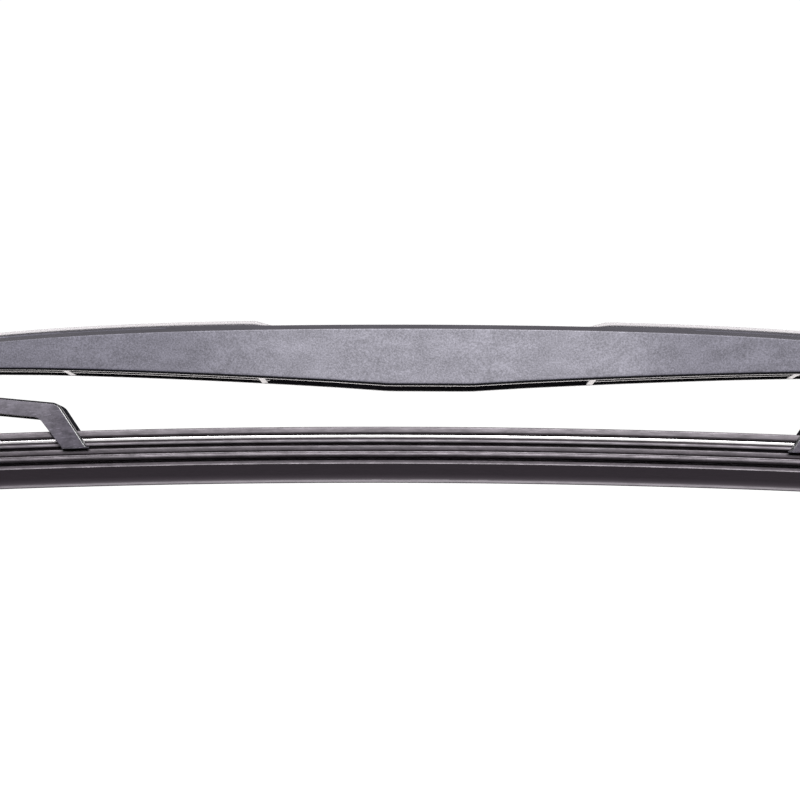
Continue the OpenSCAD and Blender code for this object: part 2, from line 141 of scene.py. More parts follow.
def inner_w(x):
    """Half width between the bridge's walls."""
    return WALL_IN + (FORK_IN - WALL_IN) * min(abs(x) / (PIVOT_X - FORK_RUN), 1)


def outer_w(x):
    """Half width over the bridge's walls."""
    wall = WALL_OUT - WALL_IN
    return inner_w(x) + wall + (FORK_WALL - wall) * min(abs(x) / (PIVOT_X - FORK_RUN), 1)


def rubber_z(x):
    """Height of the rubber's top on its bow."""
    return RUBBER_TOP - BOW_R + math.sqrt(BOW_R ** 2 - x ** 2)


def bow_tilt(x):
    """The turn of the bow at x."""
    return Matrix.Rotation(math.asin(x / BOW_R), 4, "Y")


# ---- mesh helpers ----

def ring(bm, points):
    """A closed loop of edges through the points."""
    verts = [bm.verts.new(p) for p in points]
    return verts + [bm.edges.new((a, b)) for a, b in zip(verts, verts[1:] + verts[:1])]


def kind(geom, what):
    """The members of a list of mesh elements that are of one kind."""
    return [g for g in geom if isinstance(g, what)]


def run(edge):
    """The way from an edge's one end to its other."""
    return edge.verts[1].co - edge.verts[0].co


def cap_ends(bm):
    """Closes every open end with one face."""
    bmesh.ops.holes_fill(bm, edges=[e for e in bm.edges if e.is_boundary], sides=0)


def full_turn(bm, geom, steps):
    """Spins an outline of (radius, y) points round the Y axis."""
    bmesh.ops.spin(bm, geom=geom, axis=ACROSS, cent=(0, 0, 0), angle=2 * math.pi, steps=steps,
                   use_merge=True)


def join(bm, part):
    """Adds a part that was made by itself."""
    mesh = bpy.data.meshes.new("part")
    part.to_mesh(mesh)
    part.free()
    bm.from_mesh(mesh)
    bpy.data.meshes.remove(mesh)


def linked(name, data):
    """A new object in the scene."""
    obj = bpy.data.objects.new(name, data)
    bpy.context.scene.collection.objects.link(obj)
    return obj


def make_piece(name, bm, materials, stands_for, body=None):
    """Turns the millimetre mesh into a piece in its place, smooth between its sharp edges."""
    bmesh.ops.remove_doubles(bm, verts=bm.verts, dist=WELD)
    bmesh.ops.recalc_face_normals(bm, faces=bm.faces)
    bmesh.ops.scale(bm, vec=(MM, MM, MM), verts=bm.verts)
    for face in bm.faces:
        face.smooth = True
    for edge in bm.edges:
        edge.smooth = edge.calc_face_angle(0) < SHARP
    mesh = bpy.data.meshes.new(name)
    bm.to_mesh(mesh)
    bm.free()
    for material in materials:
        mesh.materials.append(material)
    obj = linked(name, mesh)
    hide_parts(*stands_for)
    if body:
        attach(obj, body)
    return obj


def soften(obj, width):
    """Rounds the piece's sharp edges."""
    bevel = obj.modifiers.new("soft_edges", "BEVEL")
    bevel.width, bevel.segments = width * MM, 2
    bevel.limit_method, bevel.angle_limit = "ANGLE", SHARP
    bevel.harden_normals = True


# ---- materials ----

class Finish:
    """A node material whose patterns lie in the piece's own Object coordinates."""

    def __init__(self, name, colour, roughness, metallic=0.0, specular=0.5, tint=(1, 1, 1)):
        self.material = bpy.data.materials.new(name)
        self.material.use_nodes = True
        self.nodes = self.material.node_tree.nodes
        self.links = self.material.node_tree.links
        self.shader = self.nodes["Principled BSDF"]
        self.place = self.nodes.new("ShaderNodeTexCoord").outputs["Object"]
        self.colour = colour
        self.set("Base Color", (*colour, 1))
        self.set("Roughness", roughness)
        self.set("Metallic", metallic)
        self.set("Specular IOR Level", specular)
        self.set("Specular Tint", (*tint, 1))

    def set(self, socket, value):
        """Gives one of the shader's own sockets a constant."""
        self.shader.inputs[socket].default_value = value

    def feed(self, socket, value):
        """Links a socket to another node's output, or gives it a constant."""
        if isinstance(value, bpy.types.NodeSocket):
            self.links.new(value, socket)
        else:
            socket.default_value = value

    def node(self, kind_name, **inputs):
        """A new node, with its inputs by name and underscores for spaces."""
        made = self.nodes.new(kind_name)
        for key, value in inputs.items():
            self.feed(made.inputs[key.replace("_", " ")], value)
        return made

    def stretched(self, size, turn):
        """Coordinates in which a pattern's features are of that size in millimetres."""
        turned = self.node("ShaderNodeMapping", Vector=self.place, Rotation=turn)
        scale = tuple(1 / (s * MM) for s in size)
        sized = self.node("ShaderNodeMapping", Vector=turned.outputs["Vector"], Scale=scale)
        return sized.outputs["Vector"]

    def noise(self, size, detail=3.0, rough=0.6, turn=(0, 0, 0)):
        """Noise whose features are of that size in millimetres."""
        where = self.stretched(size, turn)
        made = self.node("ShaderNodeTexNoise", Vector=where, Scale=1.0, Detail=detail,
                         Roughness=rough)
        return made.outputs["Fac"]

    def spread(self, value, low, high, to_low=0.0, to_high=1.0, how="LINEAR"):
        """The value's range from low to high, spread to another range."""
        made = self.node("ShaderNodeMapRange", Value=value, From_Min=low, From_Max=high,
                         To_Min=to_low, To_Max=to_high)
        made.interpolation_type = how
        return made.outputs["Result"]

    def both(self, a, b, how="MULTIPLY"):
        """Two values multiplied, or joined by another sum."""
        made = self.nodes.new("ShaderNodeMath")
        made.operation = how
        for socket, value in zip(made.inputs, (a, b)):
            self.feed(socket, value)
        return made.outputs["Value"]

    def along(self, start, end, at_start, at_end, halves_alike=False):
        """A value that changes smoothly between two places along the blade.

        The places are in X, or by the square of X at both ends of the blade alike.
        """
        x = self.node("ShaderNodeSeparateXYZ", Vector=self.place).outputs["X"]
        if halves_alike:
            x = self.both(x, x)
            start, end = start * start * MM, end * end * MM
        return self.spread(x, start * MM, end * MM, at_start, at_end, "SMOOTHSTEP")

    def paint(self, value, *stops):
        """Base colour by a ramp of (position, brightness times the finish's colour)."""
        ramp = self.node("ShaderNodeValToRGB", Fac=value)
        band = ramp.color_ramp
        while len(band.elements) < len(stops):
            band.elements.new(0.5)
        for element, (position, gain) in zip(band.elements, stops):
            element.position = position
            element.color = (*(c * gain for c in self.colour), 1)
        self.links.new(ramp.outputs["Color"], self.shader.inputs["Base Color"])

    def rough(self, value, low, high):
        """Roughness that follows a noise."""
        self.links.new(self.spread(value, 0.3, 0.7, low, high), self.shader.inputs["Roughness"])

    def sheen(self, value):
        """Strength of the reflections."""
        self.links.new(value, self.shader.inputs["Specular IOR Level"])

    def bump(self, height, depth):
        """Relief that deep in millimetres."""
        made = self.node("ShaderNodeBump", Height=height, Strength=1.0, Distance=depth * MM)
        self.links.new(made.outputs["Normal"], self.shader.inputs["Normal"])


def moulded_plastic(name, colour, roughness, grain=0.02, tint=(0.95, 0.93, 1.0), specular=0.5,
                    ends=1.0):
    """Spark-textured plastic with a cloudy sheen, and a painted shade: the sheen is weaker
    towards the ends of the blade.
    """
    made = Finish(name, colour, roughness, tint=tint)
    fine = made.noise((0.37, 0.37, 0.37), detail=4)
    clouds = made.noise((7, 7, 3.5), detail=3)
    blend = made.both(made.both(fine, 0.68), made.both(clouds, 0.32), "ADD")
    made.paint(blend, (0.34, 0.5), (0.5, 1.0), (0.66, 1.6))
    sheen = made.spread(blend, 0.36, 0.64, 0.76 * specular, 1.24 * specular)
    # Painted shade: the sheen fades towards both ends of the blade, where the highlight falls
    # off.
    left, right = made.along(-25, -62, 1.0, ends), made.along(38, 62, 1.0, ends)
    made.sheen(made.both(sheen, made.both(left, right)))
    made.rough(blend, roughness + 0.04, roughness - 0.04)
    made.bump(fine, grain)
    return made.material


def smooth_plastic(name, colour, roughness, specular):
    """The plainer plastic of the moulding's top and edges, also used for a painted highlight and
    a painted shade on the lower edges.
    """
    made = Finish(name, colour, roughness, specular=specular, tint=(1.0, 0.94, 0.96))
    flow = made.noise((14, 2, 2), detail=2)
    made.paint(flow, (0.3, 0.85), (0.7, 1.15))
    made.rough(flow, roughness - 0.02, roughness + 0.02)
    return made.material


def painted_steel(name, colour, roughness, specular):
    """Dip-painted sheet steel, mottled, with hairline scratches and specks of dust.

    Its sheen is weaker on the inner legs: a painted shade, since the legs catch less light than
    the arms.
    """
    made = Finish(name, colour, roughness, tint=(0.96, 0.91, 1.0))
    peel = made.noise((0.6, 0.6, 0.6), detail=3)
    mottle = made.noise((1.6, 1.6, 1.0), detail=5, rough=0.75)
    hairs = made.noise((6, 0.4, 0.2), detail=5, rough=0.75, turn=(0, math.radians(8), 0))
    scratch = made.spread(hairs, 0.6, 0.7)
    marks = made.both(scratch, made.both(mottle, 0.4), "ADD")
    made.paint(marks, (0.12, 0.5), (0.28, 1.6), (1.0, 7.0))
    # Painted shade: weaker sheen on the inner legs, which catch less light than the arms.
    leg = made.along(89, 82.5, 1.0, 0.36, halves_alike=True)
    sheen = made.spread(mottle, 0.34, 0.66, 0.78 * specular, 1.22 * specular)
    made.sheen(made.both(sheen, leg))
    made.bump(peel, 0.008)
    return made.material


def shade_paint(name, colour, roughness, specular):
    """Even, darker paint on the bends and the back of a pressing: a painted shade."""
    made = Finish(name, colour, roughness, specular=specular)
    made.paint(made.noise((3, 3, 3)), (0.3, 0.8), (0.7, 1.2))
    return made.material


def rubber(name, colour, roughness, mottle, grain, specular=0.5):
    """Natural rubber, dusted by its coating."""
    made = Finish(name, colour, roughness, specular=specular, tint=(1.0, 0.93, 1.0))
    fine = made.noise((0.5, 0.4, 0.25), detail=3)
    scuffs = made.noise((4, 2, 0.8), detail=4, rough=0.7)
    made.paint(made.both(fine, scuffs), (0.12, 1 / mottle), (0.25, 1.0), (0.42, mottle))
    made.sheen(made.spread(scuffs, 0.34, 0.66, 0.8 * specular, 1.25 * specular))
    made.rough(scuffs, roughness + 0.05, roughness - 0.05)
    made.bump(fine, grain)
    return made.material


def bright_steel(name, colour, roughness, lines):
    """Rolled or turned steel, with drawn lines of that size."""
    made = Finish(name, colour, roughness, metallic=1.0)
    drawn = made.noise(lines, detail=3)
    stain = made.noise((6, 3, 3), detail=3)
    made.paint(stain, (0.25, 0.8), (0.5, 1.0), (0.8, 1.08))
    made.rough(drawn, roughness - 0.06, roughness + 0.08)
    made.bump(drawn, 0.0006)
    return made.material


# Its sheen at the ends is cut to 0.62: a painted shade for the fading highlight.
BRIDGE_PLASTIC = moulded_plastic("moulded_bridge_plastic", (0.018, 0.017, 0.024), 0.56,
                                 specular=0.54, ends=0.62)
CREST_PLASTIC = smooth_plastic("crest_plastic", (0.010, 0.0095, 0.012), 0.32, 0.5)
TRIMMED_PLASTIC = smooth_plastic("trimmed_plastic", (0.03, 0.028, 0.03), 0.3, 0.42)
# Pale, warm and strongly reflective: a painted highlight on the ribs' lower faces.
RIB_HIGHLIGHT_PLASTIC = smooth_plastic("rib_edge_painted_highlight", (0.05, 0.043, 0.044), 0.3, 0.8)
# Near black: a painted shade on the rounding of the walls' lower outer edges.
EDGE_SHADE_PLASTIC = smooth_plastic("rounded_edge_painted_shade", (0.004, 0.004, 0.005), 0.3, 0.3)
ADAPTOR_PLASTIC = moulded_plastic("moulded_adaptor_plastic", (0.020, 0.020, 0.022), 0.34,
                                  grain=0.008)
LINER_PLASTIC = moulded_plastic("acetal_liner_plastic", (0.66, 0.63, 0.55), 0.4,
                                grain=0.004, tint=(1, 1, 1))
YOKE_PAINT = painted_steel("dip_painted_yoke_steel", (0.015, 0.0135, 0.0175), 0.6, 0.3)
# Darker than the sides' paint: a painted shade along the bends, which are also smoother.
BEND_SHADE_PAINT = shade_paint("smooth_yoke_bend_painted_shade", (0.005, 0.005, 0.006), 0.2, 0.3)
# Near black and without reflections: a painted shade on the back of the channel.
BACK_SHADE_PAINT = shade_paint("yoke_back_painted_shade", (0.006, 0.006, 0.007), 0.6, 0.0)
HEAD_RUBBER = rubber("head_rubber", (0.012, 0.010, 0.012), 0.54, 1.8, 0.014)
SHOULDER_RUBBER = rubber("shoulder_rubber", (0.011, 0.009, 0.011), 0.54, 2.2, 0.02)
LIP_RUBBER = rubber("wiping_lip_rubber", (0.007, 0.005, 0.007), 0.48, 1.15, 0.002, 0.62)
CUT_RUBBER = rubber("cut_lip_rubber", (0.012, 0.010, 0.012), 0.5, 1.15, 0.002, 0.85)
STRIP_STEEL = bright_steel("rolled_strip_steel", (0.275, 0.265, 0.27), 0.32, (40, 0.3, 0.08))
PIN_STEEL = bright_steel("turned_pin_steel", (0.62, 0.61, 0.60), 0.30, (0.3, 6, 0.3))
RIVET_STEEL = bright_steel("plated_rivet_steel", (0.26, 0.26, 0.255), 0.42, (0.4, 0.4, 0.4))

BRIDGE_FINISHES = [BRIDGE_PLASTIC, CREST_PLASTIC, TRIMMED_PLASTIC, EDGE_SHADE_PLASTIC, RIB_HIGHLIGHT_PLASTIC]
RUBBER_FINISHES = [HEAD_RUBBER, SHOULDER_RUBBER, LIP_RUBBER, CUT_RUBBER]
YOKE_FINISHES = [YOKE_PAINT, BEND_SHADE_PAINT, BACK_SHADE_PAINT]


# ---- camera, light and floor: sizes are metres ----

CAMERA_PLACE, CAMERA_AIM = Vector((0.0, -0.407, -0.051)), Vector((-6.8, -7, -10.4)) * MM
CAMERA_ROLL = math.radians(0.38)
WORLD_LIGHT, WORLD_SEEN = 0.07, 1.05
FLOOR_HALF, FLOOR_Z = 0.55, -0.12
WHITE, ROSY, ROSIER = (1, 1, 1), (1.0, 0.96, 0.97), (1.0, 0.94, 0.94)
# name, place, aim, size, radiance, colour
SOFTBOXES = (
    ("key_box", (0.07, -0.86, 0.50), (0, 0, -0.01), (0.8, 0.3), 78, WHITE),
    ("high_back_box", (0, 0.8, 0.72), (0, 0, 0), (1.8, 0.4), 4.8, ROSY),
    ("low_back_box", (0, 1.0, 0.35), (0, 0, 0), (1.8, 0.36), 1.8, ROSY),
    ("top_box", (0, 0.1, 1.0), (0, 0, 0), (1.6, 0.5), 0.9, WHITE),
    ("low_card", (0, 0.8, -0.1), (0, 0, -0.01), (2.4, 0.16), 2.6, ROSIER),
    ("rear_floor_card", (0, 0.3, -0.115), (0, 0.3, 0), (2.4, 0.3), 1.6, WHITE),
    ("left_side_box", (-0.56, -0.09, 0.56), (0, 0, -0.02), (0.22, 0.22), 22, WHITE),
    ("right_side_box", (0.56, -0.09, 0.56), (0, 0, -0.02), (0.22, 0.22), 22, WHITE),
)


def facing(place, aim):
    """The turn with which a camera or a light at a place looks at its aim."""
    return (Vector(aim) - Vector(place)).to_track_quat("-Z", "Y")


def camera():
    """The photo's view."""
    data = bpy.data.cameras.new("camera")
    data.lens, data.sensor_width = 80, 36
    data.clip_start, data.clip_end = 0.01, 20
    obj = linked("camera", data)
    obj.location = CAMERA_PLACE
    obj.rotation_mode = "QUATERNION"
    roll = Quaternion((0, 0, 1), CAMERA_ROLL)
    obj.rotation_quaternion = facing(CAMERA_PLACE, CAMERA_AIM) @ roll
    bpy.context.scene.camera = obj


def softbox(name, place, aim, size, radiance, colour):
    """A rectangular light that the camera doesn't see."""
    data = bpy.data.lights.new(name, "AREA")
    data.shape, data.size, data.size_y = "RECTANGLE", *size
    data.energy = radiance * math.pi * size[0] * size[1]
    data.color = colour
    obj = linked(name, data)
    obj.location = place
    obj.rotation_mode = "QUATERNION"
    obj.rotation_quaternion = facing(place, aim)
    obj.visible_camera = False


def surroundings():
    """A white world that lights the blade less than the camera sees it."""
    world = bpy.data.worlds.new("studio")
    world.use_nodes = True
    nodes, links = world.node_tree.nodes, world.node_tree.links
    seen = nodes.new("ShaderNodeLightPath").outputs["Is Camera Ray"]
    shade = nodes.new("ShaderNodeMapRange")
    shade.inputs["To Min"].default_value = WORLD_LIGHT
    shade.inputs["To Max"].default_value = WORLD_SEEN
    links.new(seen, shade.inputs["Value"])
    links.new(shade.outputs["Result"], nodes["Background"].inputs["Strength"])
    nodes["Background"].inputs["Color"].default_value = (1, 1, 1, 1)
    bpy.context.scene.world = world
    bpy.context.scene.view_settings.view_transform = "Standard"


def floor():
    """A pale floor that takes shadows but doesn't light the blade."""
    bm = bmesh.new()
    bmesh.ops.create_grid(bm, x_segments=1, y_segments=1, size=FLOOR_HALF)
    bmesh.ops.translate(bm, vec=(0, 0, FLOOR_Z), verts=bm.verts)
    mesh = bpy.data.meshes.new("floor")
    bm.to_mesh(mesh)
    bm.free()
    pale = Finish("pale_floor", (0.9, 0.9, 0.9), 0.7)
    pale.paint(pale.noise((60, 60, 60)), (0.3, 0.99), (0.7, 1.0))
    mesh.materials.append(pale.material)
    obj = linked("floor", mesh)
    obj.visible_glossy = obj.visible_diffuse = False


camera()
surroundings()
floor()
for light in SOFTBOXES:
    softbox(*light)


# ---- bridge ----

def bridge_half_section():
    """Half of the middle section, as (y, z over the lower edge).

    The first list runs from the wall's foot over the crown, the second back under the web.
    """
    foot = [(6.5, -0.2), (6.6, -0.18), (6.68, -0.13), (6.93, 0.17), (6.98, 0.26),
            (WALL_OUT, 0.36), (WALL_OUT, 0.7)]
    bevel = [(WALL_OUT, -1.4), (WALL_OUT, -1.22), (6.98, -1.12), (6.93, -1.04), (6.86, -0.95),
             (6.3, -0.25), (6.21, -0.14), (6.12, -0.04), (6.0, 0.035)]
    across = (5.85, 5.55, 5.2, WINDOW_HALF, 4.2, 3.4, 2.3, 1.2)
    crown = [(y, BELLY + CROWN * (1 - (y / CROWN_HALF) ** 2)) for y in across]
    web = [(y, BELLY - WEB_T - WEB_SAG * y / WALL_IN) for y in (1.2, 2.4, 3.6, WINDOW_HALF)]
    wall = [(5.03, BELLY - 1.58), (WALL_IN, BELLY - 1.8), (WALL_IN, 0.05), (5.16, -0.13),
            (5.3, -0.2)]
    return foot + [(y, BELLY + z) for y, z in bevel] + crown, web + wall


def wall_place(a, wall_in, wall_out):
    """Distance from the middle for a point of the middle section, between those walls."""
    if a <= WALL_IN:
        return a * wall_in / WALL_IN
    if a <= WALL_IN + BAND_IN:
        return wall_in + a - WALL_IN
    if a >= WALL_OUT - BAND_OUT:
        return wall_out - (WALL_OUT - a)
    t = (a - WALL_IN - BAND_IN) / (WALL_OUT - BAND_OUT - WALL_IN - BAND_IN)
    return (wall_in + BAND_IN) * (1 - t) + (wall_out - BAND_OUT) * t


def bridge_height(x, z, edge, crest):
    """Height for a point of the middle section, between that lower edge and crest."""
    if z > BELLY:
        return crest + (z - BELLY) * eased((abs(x) - CROWN_START) / CROWN_RUN)
    if z >= BELLY - BAND_TOP:
        return crest + z - BELLY
    if z <= BAND_FOOT:
        return edge + z
    t = (z - BAND_FOOT) / (BELLY - BAND_TOP - BAND_FOOT)
    return (edge + BAND_FOOT) * (1 - t) + (crest - BAND_TOP) * t


def bridge_place(co):
    """Moves a point of the middle section to its place along the bridge."""
    x, y, z = co
    past = abs(x) - (BRIDGE_END - END_R)
    round_end = END_R - math.sqrt(max(END_R ** 2 - past * past, 0)) if past > 0 else 0.0
    wide = wall_place(abs(y), inner_w(x), outer_w(x) - 0.4 * round_end)
    high = bridge_height(x, z, edge_z(x), crest_z(x) - round_end)
    return Vector((x, math.copysign(wide, y), high))


def bridge_stations():
    """Places along the bridge at which its section is repeated."""
    half = [WINDOW_END * k / WINDOW_STEPS for k in range(WINDOW_STEPS + 1)]
    half += [WINDOW_END + (PIVOT_X - WINDOW_END) * k / ARM_STEPS for k in range(1, ARM_STEPS + 1)]
    turns = (12, 24, 36, 48, 58, 67, 75, 82)
    half += [PIVOT_X + FORK_R * math.sin(math.radians(w)) for w in turns]
    half.append(BRIDGE_END - NEAR)
    return [-x for x in reversed(half[1:])] + half


def bridge_channel(bm):
    """The middle section, extruded from station to station and not yet shaped."""
    over, under = bridge_half_section()
    outside = over + [(0, BELLY + CROWN)] + [(-y, z) for y, z in reversed(over)]
    inside = [(-y, z) for y, z in reversed(under)] + [(0, BELLY - WEB_T)] + under
    stations = bridge_stations()
    front = ring(bm, [(stations[0], y, z) for y, z in outside + inside])
    for x in stations[1:]:
        edges = kind(front, bmesh.types.BMEdge)
        front = bmesh.ops.extrude_edge_only(bm, edges=edges)["geom"]
        for vert in kind(front, bmesh.types.BMVert):
            vert.co.x = x
        front = [e for e in kind(front, bmesh.types.BMEdge)
                 if all(abs(v.co.x - x) < 0.001 for v in e.verts)]


def open_window(bm):
    """Takes the web out between the two window ribs and closes the cut's edges."""
    gone = []
    for face in bm.faces:
        x, y, z = face.calc_center_median()
        if abs(x) < WINDOW_END and abs(y) < WINDOW_HALF - NEAR and z > BELLY - WEB_CUT:
            gone.append(face)
    rim = {e for f in gone for e in f.edges if any(g not in gone for g in e.link_faces)}
    bmesh.ops.delete(bm, geom=gone, context="FACES")
    bmesh.ops.bridge_loops(bm, edges=[e for e in rim if e.is_valid])


def cross_rib(bm, x):
    """A rib from wall to wall with rounded lower edges, a little lower than the walls."""
    low, high = edge_z(x) - RIB_BELOW, crest_z(x) - SUNK
    size = Matrix.Diagonal((RIB_T, 2 * (inner_w(x) + SUNK), high - low, 1))
    place = Matrix.Translation((x, 0, (low + high) / 2))
    made = bmesh.ops.create_cube(bm, size=1, matrix=place @ size)
    edges = {e for v in made["verts"] for e in v.link_edges
             if all(u.co.z < low + NEAR for u in e.verts) and abs(run(e).x) < NEAR}
    bmesh.ops.bevel(bm, geom=list(edges), offset=RIB_EDGE_R, segments=3, profile=0.5,
                    affect="EDGES", material=-1)


def spine_rib(bm, side):
    """The thin rib under the middle of the top, from a window rib to the fork's start."""
    start, end = side * WINDOW_X, side * (PIVOT_X - FORK_RUN)
    rib = bmesh.new()
    bmesh.ops.create_cube(rib, size=1)
    lengthways = [e for e in rib.edges if abs(run(e).x) > 0.5]
    bmesh.ops.subdivide_edges(rib, edges=lengthways, cuts=20)
    for vert in rib.verts:
        x = start + (end - start) * (vert.co.x + 0.5)
        z = edge_z(x) if vert.co.z < 0 else crest_z(x) - SUNK
        vert.co = (x, vert.co.y * SPINE_T, z)
    join(bm, rib)


def pin_boss(bm, side):
    """The ring inside a wall that the connector pin is moulded into."""
    section = [(2.5, 4.5), (3.7, 4.5), (3.9, 4.7), (3.9, 5.6), (2.5, 5.6)]
    full_turn(bm, ring(bm, [(r, side * y, 0) for r, y in section]), 48)


def face_on_rib(face):
    """Whether the face is a cross rib's lower edge, which runs from wall to wall."""
    ys = [v.co.y for v in face.verts]
    return max(ys) - min(ys) > WALL_IN


def bridge_finish(face):
    """The finish of a face: the top and the lower edges are smoother than the sides, the ribs'
    lower faces carry a painted highlight and the walls' lower outer rounding a painted shade.
    """
    (x, y, z), up = face.calc_center_median(), face.normal.z
    if up > 0.5 and z > crest_z(x) - 1.2:
        return CREST_PLASTIC
    if z < edge_z(x) + 0.4:
        if up < -0.9:
            return RIB_HIGHLIGHT_PLASTIC if face_on_rib(face) else TRIMMED_PLASTIC
        # The walls' lower outer rounding gets the painted shade.
        if up < -0.25 and abs(y) > inner_w(x) + 1:
            return EDGE_SHADE_PLASTIC
    return BRIDGE_PLASTIC


def lay_finishes(bm, finishes, finish_of):
    """Gives each face its finish's place in the piece's list of materials."""
    bmesh.ops.recalc_face_normals(bm, faces=bm.faces)
    for face in bm.faces:
        face.material_index = finishes.index(finish_of(face))


def bridge():
    """The moulded bridge, open at the bottom and with a window in its top."""
    bm = bmesh.new()
    bridge_channel(bm)
    open_window(bm)
    cap_ends(bm)
    for vert in bm.verts:
        vert.co = bridge_place(vert.co)
    for side in (-1, 1):
        cross_rib(bm, side * WINDOW_RIB[side])
        cross_rib(bm, side * OUTER_RIB)
        spine_rib(bm, side)
        pin_boss(bm, side)
    lay_finishes(bm, BRIDGE_FINISHES, bridge_finish)
    make_piece("bridge_moulding", bm, BRIDGE_FINISHES, ["bridge"], "bridge")


# ---- rubber element and strips ----

def along_bow(bm, section, half, side):
    """Sweeps a section of (depth, y) points from the middle to one end of the element."""
    loop = ring(bm, [(0, y, RUBBER_TOP - depth) for depth, y in section])
    bmesh.ops.spin(bm, geom=loop, axis=ACROSS, cent=BOW_CENTRE, steps=BOW_STEPS,
                   angle=side * math.asin(half / BOW_R))
    cap_ends(bm)


def rubber_half_section():
    """Half of the extrusion's section from its top down to the lip, as (depth, y)."""
    head = [(0, 2.35), (0.03, 2.55), (0.12, 2.71), (0.24, 2.79), (0.36, 2.8), (1.16, 2.8),
            (1.3, 2.79), (1.42, 2.72), (1.54, 2.56), (1.68, 2.32), (1.75, 2.1)]
    strip_groove = [(1.75, 0.65), (2.64, 0.65)]
    under_strip = [(2.64, 2.1), (2.72, 2.32), (2.88, 2.54), (2.98, 2.72), (3.08, 2.79),
                   (3.2, 2.8), (3.44, 2.8), (3.54, 2.77), (3.6, 2.66), (3.62, 2.5)]
    claw_groove = [(3.62, 1.5), (3.7, 1.4), (4.2, 1.4), (4.3, 1.5)]
    shoulder = [(4.3, 2.66), (4.34, 2.82), (4.42, 2.89), (4.5, 2.9), (5.2, 2.785),
                (5.32, 2.74), (5.4, 2.64), (5.46, 2.48), (5.56, 2.36), (5.66, 2.34),
                (5.78, 2.4), (5.84, 2.6), (5.91, 2.73), (5.99, 2.79), (6.07, 2.805),
                (6.4, 2.805), (6.47, 2.795), (6.56, 2.75), (6.68, 2.65), (6.8, 2.5),
                (6.9, 2.3), (6.95, 2.05)]
    neck = [(6.95, 0.75), (7.0, 0.58), (7.1, 0.5), (7.45, 0.5), (7.55, 0.58), (7.6, 0.75)]
    wedge = [(7.6, 1.7), (7.66, 1.84), (7.74, 1.93), (8.15, 2.27), (8.28, 2.36),
             (8.42, 2.4), (8.54, 2.34)]
    lip = [(8.66, 2.26), (10.75, 0.95), (10.95, 0.83), (11.2, 0.71), (11.45, 0.6),
           (11.7, 0.52), (11.92, 0.475)]
    tip = [(12.08, 0.46), (12.5, 0.46), (12.57, 0.455), (12.65, 0.41), (12.7, 0.3)]
    return head + strip_groove + under_strip + claw_groove + shoulder + neck + wedge + lip + tip


def rubber_finish(face):
    """The finish of a face, by its depth under the element's top."""
    mid = face.calc_center_median()
    depth = BOW_R - (Vector((mid.x, 0, mid.z)) - BOW_CENTRE).length
    return RUBBER_FINISHES[sum(depth >= end for end in FINISH_DEPTHS)]


def bend_with(obj):
    """Bakes the half's place into its mesh."""
    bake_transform(obj)


def element_half(side, name):
    """One half of the rubber element."""
    half = rubber_half_section()
    bm = bmesh.new()
    along_bow(bm, half + [(d, -y) for d, y in reversed(half)], BLADE_HALF, side)
    lay_finishes(bm, RUBBER_FINISHES, rubber_finish)
    obj = make_piece(name, bm, RUBBER_FINISHES, ["rubber_element"])
    bend_with(obj)


def lock_notch(bm, front):
    """The notch at the outer claw that locks the strip lengthways."""
    edges = [-CLAW_OUT + s * NOTCH_HALF + t for s, t in ((-1, -NEAR), (-1, 0), (1, 0), (1, NEAR))]
    for x in edges:
        geom = bm.verts[:] + bm.edges[:] + bm.faces[:]
        bmesh.ops.bisect_plane(bm, geom=geom, plane_co=(x, 0, 0), plane_no=ALONG, dist=0.0001)
    for vert in bm.verts:
        if edges[0] + NEAR / 2 < vert.co.x < edges[3] - NEAR / 2 and abs(vert.co.y) > 2:
            vert.co.y -= front * NOTCH_DEPTH


def strip_half(side, front, name, node):
    """One half of a steel strip in the element's groove, on the front (-1) or rear (1) side."""
    section = [(1.9, 0.67), (1.9, 2.4), (1.91, 2.45), (1.94, 2.48), (1.99, 2.5), (2.05, 2.5),
               (2.4, 2.5), (2.47, 2.5), (2.55, 2.48), (2.61, 2.42), (2.63, 2.34), (2.63, 0.67)]
    bm = bmesh.new()
    along_bow(bm, [(d, front * y) for d, y in section], STRIP_HALF, side)
    if side < 0:
        lock_notch(bm, front)
    obj = make_piece(name, bm, [STRIP_STEEL], [node])
    bend_with(obj)


# ---- yokes ----

def leg_foot(x, towards):
    """The foot's two lower corners, far from the pivot and near it."""
    ends = [x + s * towards * LEG_W / 2 for s in (-1, 1)]
    return [(u, rubber_z(u) - FOOT_DEPTH) for u in ends]


def leg_knee(x, towards):
    """The corner between a leg's back and the arm's."""
    rise = KNEE_RISE + FOOT_DEPTH
    run_in = towards * rise * math.tan(LEG_LEAN)
    return (x - towards * LEG_W / 2 + run_in, rubber_z(x) + KNEE_RISE)


def leg_crook(x, towards):
    """The corner between a leg's inner edge and the arm's belly."""
    rise = KNEE_RISE + FOOT_DEPTH - CROOK_DROP
    run_in = LEG_W / 2 + LEG_FLARE + rise * math.tan(LEG_LEAN)
    return (x + towards * run_in, rubber_z(x) + KNEE_RISE - CROOK_DROP)


def arm_under(knee, hub, x):
    """The point of the arm's belly at x, under its straight back."""
    slope = (hub[1] - knee[1]) * (x - knee[0]) / (hub[0] - knee[0])
    return (x, knee[1] + slope - ARM_H)


